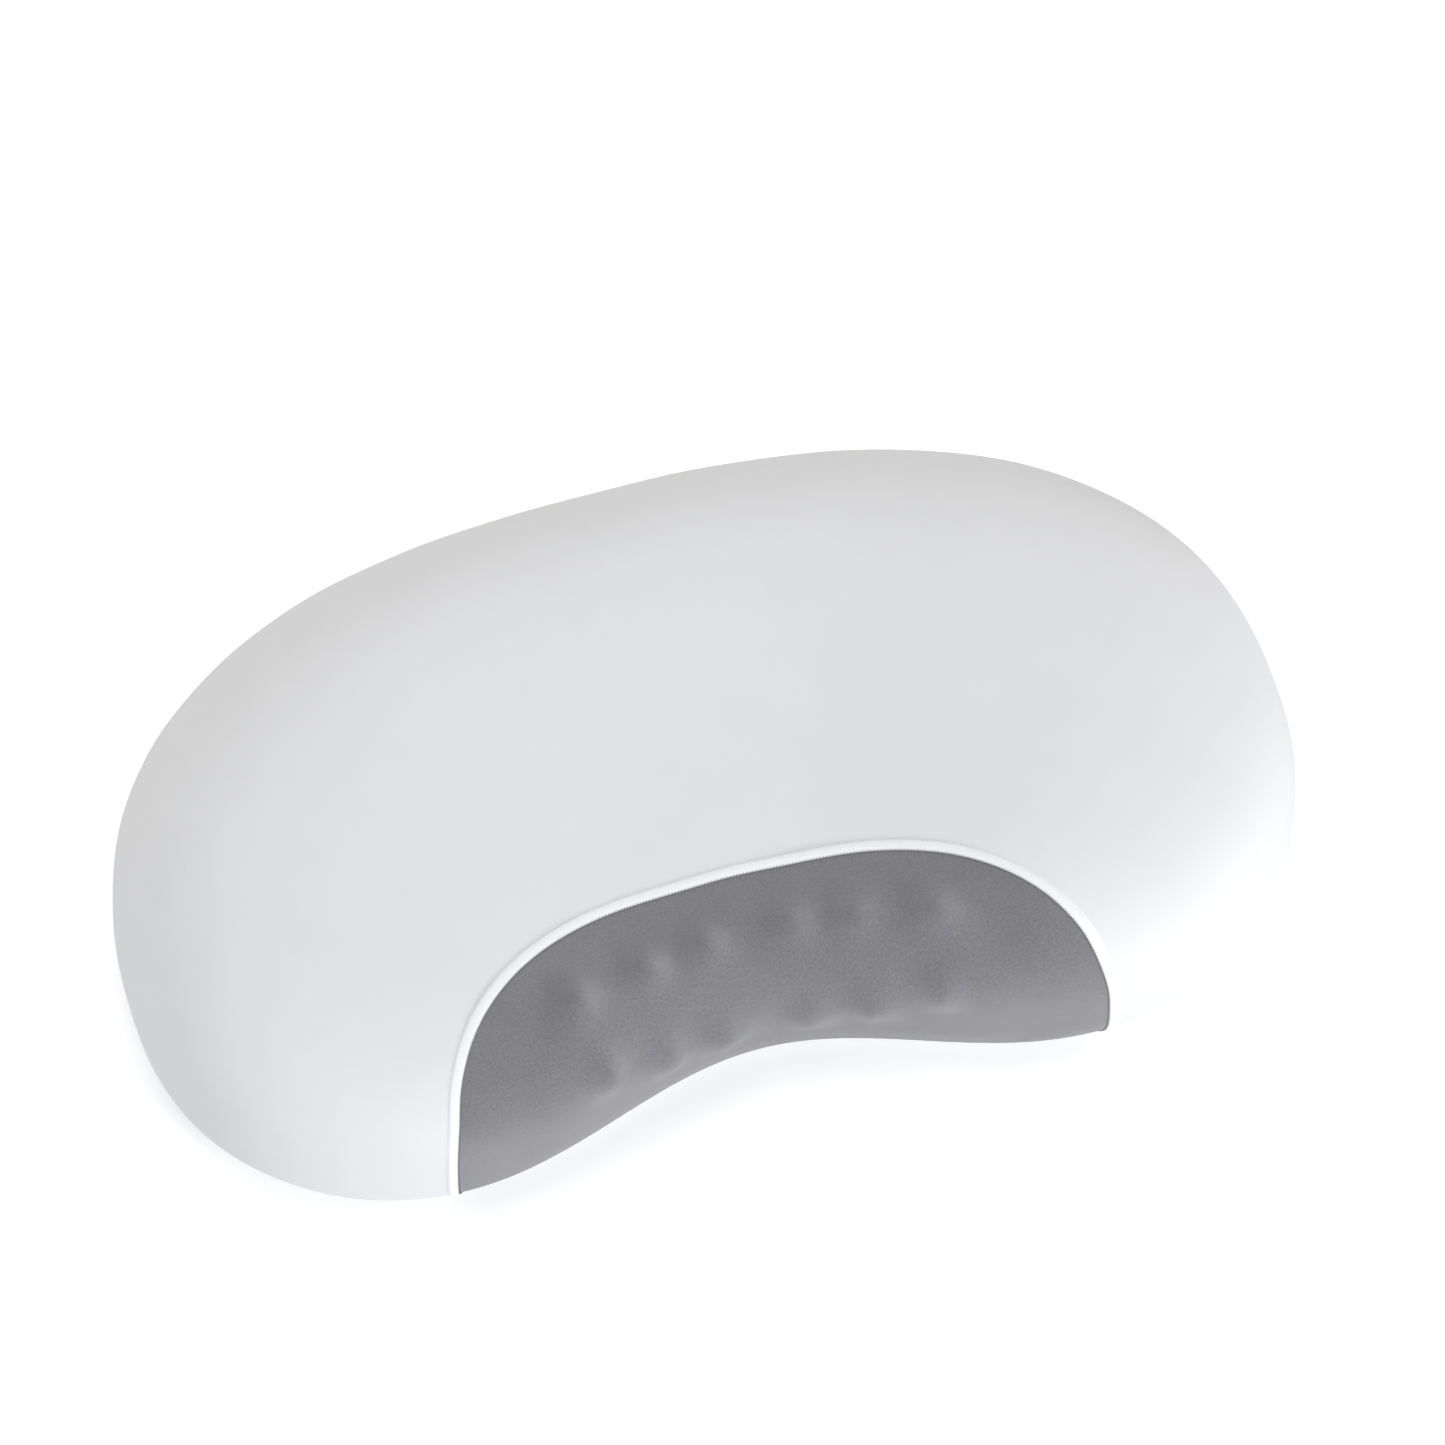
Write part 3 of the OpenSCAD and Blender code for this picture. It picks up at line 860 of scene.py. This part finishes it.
def lay_on_zip(u, f, points):
    """Draws the rear wall onto the zip's arc, fading out above, below and past its ends."""
    edge_rows = np.where(f <= (SLOT_ROWS[0] + SLOT_ROWS[1]) / 2, SLOT_ROWS[0], SLOT_ROWS[1])
    edge = skin(u, edge_rows)
    up = np.where(edge_rows == SLOT_ROWS[0], SLOT_W, -SLOT_W)
    wanted = zip_point(zip_along(edge), SLOT_OUT, up)
    fade = smooth(f, SLOT_FADE_F, SLOT_ROWS[0]) * (1 - smooth(f, SLOT_ROWS[1], SEAM_F - 1))
    fade = fade * (1 - smooth(np.abs(zip_along(edge)), SLOT_HALF, SLOT_HALF + SLOT_FADE_END))
    fade = np.where(points[..., 1] > 0, fade, 0)
    return points + (wanted - edge) * fade[..., None]


# ======================= white cover, base and seam =======================

TOP_ROWS = 20
WALL_ROWS = 23


def in_both(columns):
    """Cells of the grid that lie between two picked columns."""
    return columns & np.roll(columns, -1)


def make_top_cover():
    """White knit over the top and sides, open at the grey panel and at the zip."""
    edge = np.where(IN_PANEL, crown(COLUMNS), LEG_TOP)
    top = rows_to(edge, TOP_ROWS)
    wall = np.linspace(0, 1, WALL_ROWS + 1)[1:, None] * (WIDEST_F - edge) + edge
    lower = np.repeat(np.array(LOWER_ROWS)[:, None], len(COLUMNS), axis=1)
    f = np.concatenate([top, wall, lower])
    u = bowed(np.broadcast_to(COLUMNS, f.shape), f)
    normals = skin_normal(u, f)
    points = skin(u, f)
    points = points + normals * (softness(points) - seam_pinch(f, -1))[..., None]
    points = lay_on_zip(u, f, points)
    covers = np.ones((f.shape[0] - 1, len(COLUMNS)), bool)
    covers[TOP_ROWS - 1:, in_both(IN_PANEL)] = False
    slot = TOP_ROWS + WALL_ROWS + LOWER_ROWS.index(SLOT_ROWS[0])
    along = np.abs(zip_along(skin(COLUMNS, ZIP_ROW)))
    in_slot = (along < SLOT_HALF + 0.01 * MM) & (np.sin(np.radians(COLUMNS)) > 0)
    slot_rows = slice(slot, slot + len(SLOT_ROWS))
    covers[slot_rows, in_both(in_slot)] = False
    piece = cloth_shell("white_cover", points, normals, COVER_T, covers, WHITE_KNIT,
                        cloth_place(u, f), poles=(-1,))
    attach(piece, "pillow")
    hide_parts("top_cover")


def make_base_cover():
    """White panel of the underside, kept off the floor."""
    f = np.repeat(BASE_ROWS[:, None], len(COLUMNS), axis=1)
    u = np.broadcast_to(COLUMNS, f.shape)
    normals = skin_normal(u, f)
    points = skin(u, f) - normals * seam_pinch(f, 1)[..., None]
    points[..., 2] = np.maximum(points[..., 2], 0)
    last_row = len(BASE_ROWS) - 1
    piece = cloth_shell("base_panel", points, normals, COVER_T,
                        np.ones((last_row, len(COLUMNS)), bool), WHITE_KNIT,
                        cloth_place(u, f, pole=180), poles=(last_row,))
    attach(piece, "pillow")
    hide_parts("base_cover")


def make_base_seam():
    """Rolled seam that joins the top cover to the base panel."""
    path = skin(COLUMNS, SEAM_F) - skin_normal(COLUMNS, SEAM_F + 0 * COLUMNS) * SEAM_ROLL_R
    piece = add_tubes("base_seam_roll", [path], SEAM_ROLL_R, BINDING_KNIT, closed=True, sides=10)
    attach(piece, "pillow")


make_top_cover()
make_base_cover()
make_base_seam()


# ======================= grey neck panel =======================

def nub_feet(row):
    """Points of the skin that lie over the middles of a row's nubs."""
    u, f = np.array([(NECK_U + side * du, float(f)) for du, f in row for side in (-1, 1)]).T
    return skin(u, f)


def nub_relief(u, f, points):
    """How far the cloth stands off the skin: a low field round all the nubs and a hump on each."""
    field = (1 - smooth(np.abs(u - NECK_U), *FIELD_SIDE)) * smooth(f, *FIELD_TOP)
    height = FIELD_RISE * field * (1 - smooth(f, *FIELD_FOOT))
    for row, rise in ((UPPER_NUBS, UPPER_RISE), (LOWER_NUBS, LOWER_RISE)):
        for foot in nub_feet(row):
            away = np.linalg.norm(points - foot, axis=-1)
            height = height + rise * np.exp(-(away / HUMP_WIDTH) ** 2 / 2)
    return height


def make_neck_panel():
    """Grey knit drawn over the nubs, tucked under the binding and in at the base seam."""
    columns = both_sides(half_panel(PANEL_COLUMNS))
    share = np.linspace(0, 1, PANEL_ROWS)[:, None]
    f = spread(crown(columns), SEAM_F, PANEL_ROWS, PANEL_SPREAD)
    u = bowed(np.broadcast_to(columns, f.shape), f)
    points = skin(u, f)
    normals = skin_normal(u, f)
    height = nub_relief(u, f, points)
    tucked = TUCK_DEPTH * np.exp(-(share / TUCK_SHARE) ** 2) + seam_pinch(f, -1)
    points = points + normals * (height - tucked)[..., None]
    piece = cloth_shell("grey_neck_panel", points, normals, COVER_T,
                        np.ones((f.shape[0] - 1, f.shape[1] - 1), bool), GREY_KNIT,
                        cloth_place(u, f), closed=False)
    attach(piece, "pillow")
    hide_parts("neck_panel")


make_neck_panel()


# ======================= binding and stitches =======================

LEG_STEPS = 300
ARCH_STEPS = 900
WALK_STEP = 0.7 * MM
BINDING_STEP_MM = 1.6
# Section of the binding in mm: how far outside the panel's edge, and how far off the skin.
BINDING_PROFILE = [(-0.3, -0.7), (-0.45, 0.0), (-0.35, 0.35), (0.0, 0.6), (0.7, 0.85), (1.8, 0.95),
                   (3.0, 0.9), (4.0, 0.8), (4.7, 0.62), (5.2, 0.36), (5.6, -0.1), (5.4, -0.7)]


def panel_edge_path(spacing):
    """Angles u and f at even steps along the panel's edge, up the left leg and down the right."""
    leg_f = np.linspace(SEAM_F, LEG_TOP, LEG_STEPS)
    arch_u = both_sides(half_panel(ARCH_STEPS))
    u = np.concatenate([0 * leg_f + LEFT_LEG, arch_u[1:-1], 0 * leg_f + RIGHT_LEG])
    f = np.concatenate([leg_f, crown(arch_u)[1:-1], leg_f[::-1]])
    u = bowed(u, f)
    run = np.concatenate([[0], np.cumsum(np.linalg.norm(np.diff(skin(u, f), axis=0), axis=1))])
    even = np.linspace(0, run[-1], int(run[-1] / spacing))
    return np.interp(even, run, u), np.interp(even, run, f)


def beside_edge(u, f, distance):
    """Angles of the points a distance outside the panel's edge, walking over the skin."""
    steps = max(1, int(abs(distance) / WALK_STEP))
    for _ in range(steps):
        along, down = slopes(u, f)
        place = skin(u, f)
        forward = unit(np.gradient(place, axis=0))
        outward = unit(np.cross(skin_normal(u, f), forward)) * distance / steps
        a = (along * along).sum(-1)
        b = (along * down).sum(-1)
        c = (down * down).sum(-1)
        p, q = (along * outward).sum(-1), (down * outward).sum(-1)
        det = a * c - b * b
        u = u + (c * p - b * q) / det
        f = f + (a * q - b * p) / det
    return u, f


def edge_points(u, f, distance, height):
    """Points a distance outside the panel's edge and a height off the skin."""
    side_u, side_f = beside_edge(u, f, distance)
    return skin(side_u, side_f) + skin_normal(side_u, side_f) * height


def make_binding():
    """Raised white strip that frames the grey panel."""
    u, f = panel_edge_path(BINDING_STEP_MM * MM)
    rings = np.stack([edge_points(u, f, w * MM, h * MM) for w, h in BINDING_PROFILE], axis=1)
    faces = sweep_faces(len(u), len(BINDING_PROFILE), False)
    cloth = np.zeros(rings.shape)
    cloth[..., 0] = [w for w, _ in BINDING_PROFILE]
    cloth[..., 1] = (np.arange(len(u)) * BINDING_STEP_MM)[:, None]
    piece = add_piece("panel_binding", rings, faces, BINDING_KNIT, cloth)
    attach(piece, "pillow")
    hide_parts("neck_binding")


def stitch_path(points, normals, start, end, lift, sink):
    """One stitch that rises out of the cloth between two points."""
    share = np.array([0, 0.2, 0.5, 0.8, 1.0])
    rise = np.array([-sink, lift * 0.7, lift, lift * 0.7, -sink])
    place = points[start] * (1 - share)[:, None] + points[end] * share[:, None]
    return place + normals[start] * rise[:, None]


def stitch_row(points, normals, lift, sink):
    """Stitches two steps long with one step between them."""
    return [stitch_path(points, normals, i, i + 2, lift, sink)
            for i in range(0, len(points) - 3, 3)]


def make_panel_overlock():
    """Overlock thread: slanted stitches from the grey knit onto the binding's edge."""
    u, f = panel_edge_path(OVERLOCK_STEP)
    inner_u, inner_f = beside_edge(u, f, -OVERLOCK_REACH)
    outer = edge_points(u, f, distance=0.1 * MM, height=0.62 * MM)
    inner = skin(inner_u, inner_f)
    normals = skin_normal(u, f)
    paths = []
    for i in range(0, len(u) - 1, 2):
        start = inner[i] - normals[i] * 0.3 * MM
        middle = (inner[i] + outer[i + 1]) / 2 + normals[i] * 0.1 * MM
        end = outer[i + 1] + normals[i] * 0.05 * MM
        paths.append([start, middle, end])
    piece = add_tubes("panel_overlock", paths, OVERLOCK_R, GREY_THREAD, sides=5)
    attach(piece, "pillow")


def make_binding_topstitch():
    """Row of stitches near the binding's outer edge."""
    u, f = panel_edge_path(STITCH_STEP)
    points = edge_points(u, f, TOPSTITCH_SIDE, TOPSTITCH_HEIGHT)
    paths = stitch_row(points, skin_normal(u, f), lift=0.16 * MM, sink=0.3 * MM)
    piece = add_tubes("binding_topstitch", paths, THREAD_R, WHITE_THREAD, sides=5)
    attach(piece, "pillow")


make_binding()
make_panel_overlock()
make_binding_topstitch()


# ======================= zip =======================

# Section of the upper tape in mm: out of the wall, and up from the chain.
TAPE_PROFILE = [(-0.35, 7.0), (-0.35, 3.2), (-0.5, 2.9), (-0.5, 2.45), (0.5, 2.45), (0.55, 2.8),
                (0.35, 3.2), (0.28, 4.2), (0.35, 5.2), (0.3, 7.0)]
# A bar tack's stitches: how far apart, how many, and where one lies across the slot.
TACK_STEP = 0.35 * MM
TACK_COUNT = 9
TACK_UP = np.array([-1, -0.9, 0, 0.9, 1])
TACK_OUT = np.array([-0.4, 0.12, 0.15, 0.12, -0.4]) * MM


def make_zip_tape(side, name, node):
    """Woven tape with a corded edge beside the coil.

    Past the stops its inner edge comes in to the middle, where the two tapes meet.
    """
    profile = [(out * MM, up * side * MM) for out, up in TAPE_PROFILE]
    if side > 0:
        profile.reverse()
    along = np.linspace(-TAPE_HALF, TAPE_HALF, TAPE_RINGS)
    meeting = smooth(np.abs(along), STOP_END, STOP_END + 1 * MM)
    rings = []
    for out, up in profile:
        moved = np.sign(up) * TAPE_INNER * (TAPE_OUTER - abs(up)) / (TAPE_OUTER - TAPE_INNER)
        rings.append(zip_point(along, out, up - moved * meeting))
    rings = np.stack(rings, axis=1)
    cloth = np.zeros(rings.shape)
    cloth[..., 0] = along[:, None] / MM
    cloth[..., 1] = [up / MM for _, up in profile]
    faces = sweep_faces(TAPE_RINGS, len(profile), False)
    piece = add_piece(name, rings, faces, ZIP_TAPE, cloth)
    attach(piece, "pillow")
    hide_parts(node)


def make_zip_coil(side, name, node):
    """Nylon coil: one filament wound in loops that reach past the middle between the other's."""
    turns = int(2 * COIL_HALF / COIL_PITCH) - 1
    t = np.arange(turns * COIL_STEPS + 1) / COIL_STEPS
    shift = 0 if side > 0 else 0.5
    along = -COIL_HALF + COIL_START + (t + shift) * COIL_PITCH
    up = side * (COIL_MIDDLE + COIL_REACH * np.cos(2 * math.pi * t))
    path = zip_point(along, COIL_OUT * np.sin(2 * math.pi * t), up)
    piece = add_tubes(name, [path], FILAMENT_R, NYLON)
    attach(piece, "pillow")
    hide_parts(node)


def make_hem_stitches():
    """Two rows that hold the tapes, and a bar tack at each end of the slot."""
    paths = []
    for side in (1, -1):
        along = np.arange(-SLOT_HALF, SLOT_HALF, STITCH_STEP)
        points = zip_point(along, SLOT_OUT + 0.05 * MM, side * (SLOT_W + HEM_SIDE))
        normals = unit(zip_point(along, SLOT_OUT + 1 * MM, side * SLOT_W)
                       - zip_point(along, SLOT_OUT, side * SLOT_W))
        paths += stitch_row(points, normals, lift=0.14 * MM, sink=0.3 * MM)
    for end in (-1, 1):
        for i in range(TACK_COUNT):
            along = end * (SLOT_HALF - 0.3 * MM + i * TACK_STEP)
            paths.append(zip_point(along, SLOT_OUT + TACK_OUT, TACK_UP * (SLOT_W + 0.6 * MM)))
    piece = add_tubes("zip_hem_stitches", paths, THREAD_R, WHITE_THREAD, sides=5)
    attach(piece, "pillow")


def finish_cad(node, material):
    """Gives a CAD part its material."""
    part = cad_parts[node]
    part.data.materials.clear()
    part.data.materials.append(material)


def round_edges(node, width):
    """Rounds the sharp edges of a CAD part with a modifier, so its mesh stays as it is."""
    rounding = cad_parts[node].modifiers.new("rounding", "BEVEL")
    rounding.width = width
    rounding.segments = 2
    rounding.limit_method = "ANGLE"
    rounding.harden_normals = False


make_zip_tape(1, "zip_tape_upper_weave", "zip_tape_upper")
make_zip_tape(-1, "zip_tape_lower_weave", "zip_tape_lower")
make_zip_coil(1, "zip_coil_upper_loops", "zip_coil_upper")
make_zip_coil(-1, "zip_coil_lower_loops", "zip_coil_lower")
make_hem_stitches()
for metal_node, bevel_width in (("zip_slider", 0.15 * MM), ("zip_pull", 0.2 * MM),
                                ("zip_top_stops", 0.2 * MM), ("zip_bottom_stop", 0.2 * MM)):
    finish_cad(metal_node, METAL)
    round_edges(metal_node, bevel_width)


# ======================= label =======================

def label_place(across, up):
    """Points and normals of the ribbon, which is held along its top and free at its foot."""
    along, down = slopes(LABEL_U, LABEL_F)
    u = LABEL_U + across / np.linalg.norm(along) + 0 * up
    f = LABEL_F - up / np.linalg.norm(down) + 0 * across
    normals = skin_normal(u, f)
    free = 0.5 - up / LABEL_H
    wave = np.sin(across / LABEL_W * LABEL_WAVE_TURN + LABEL_WAVE_SHIFT)
    lift = LABEL_GAP + LABEL_CURL * free ** 2 + LABEL_WAVE * free * wave
    return skin(u, f) + normals * lift[..., None], normals


def make_label():
    """Blank ribbon sewn low on the rear wall."""
    rows, columns = LABEL_GRID
    across = np.linspace(-0.5, 0.5, columns + 1)[None, :] * LABEL_W
    up = np.linspace(-0.5, 0.5, rows + 1)[:, None] * LABEL_H
    points, normals = label_place(across, up)
    cloth = np.stack([across / MM + 0 * up, up / MM + 0 * across, 0 * (across + up)], axis=-1)
    piece = cloth_shell("blank_care_label", points, normals, LABEL_T,
                        np.ones(LABEL_GRID, bool), SATIN, cloth, closed=False)
    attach(piece, "pillow")
    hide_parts("care_label")


def make_label_stitches():
    """Row of stitches along the ribbon's upper edge."""
    across = np.arange(-LABEL_W / 2 + 1 * MM, LABEL_W / 2 - 1 * MM, STITCH_STEP)
    points, normals = label_place(across, LABEL_H / 2 - 1.6 * MM + 0 * across)
    paths = stitch_row(points + normals * 0.04 * MM, normals, lift=0.14 * MM, sink=0.8 * MM)
    piece = add_tubes("label_stitches", paths, THREAD_R, WHITE_THREAD, sides=5)
    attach(piece, "pillow")


make_label()
make_label_stitches()


# ======================= inside =======================

finish_cad("foam_core", FOAM)
finish_cad("inner_liner", LINER_KNIT)
finish_cad("nub_pad", PAD_RUBBER)
for row_name in ("upper", "lower"):
    for number in range(1, 7):
        finish_cad(f"nub_{row_name}_{number}", NUB_RUBBER)
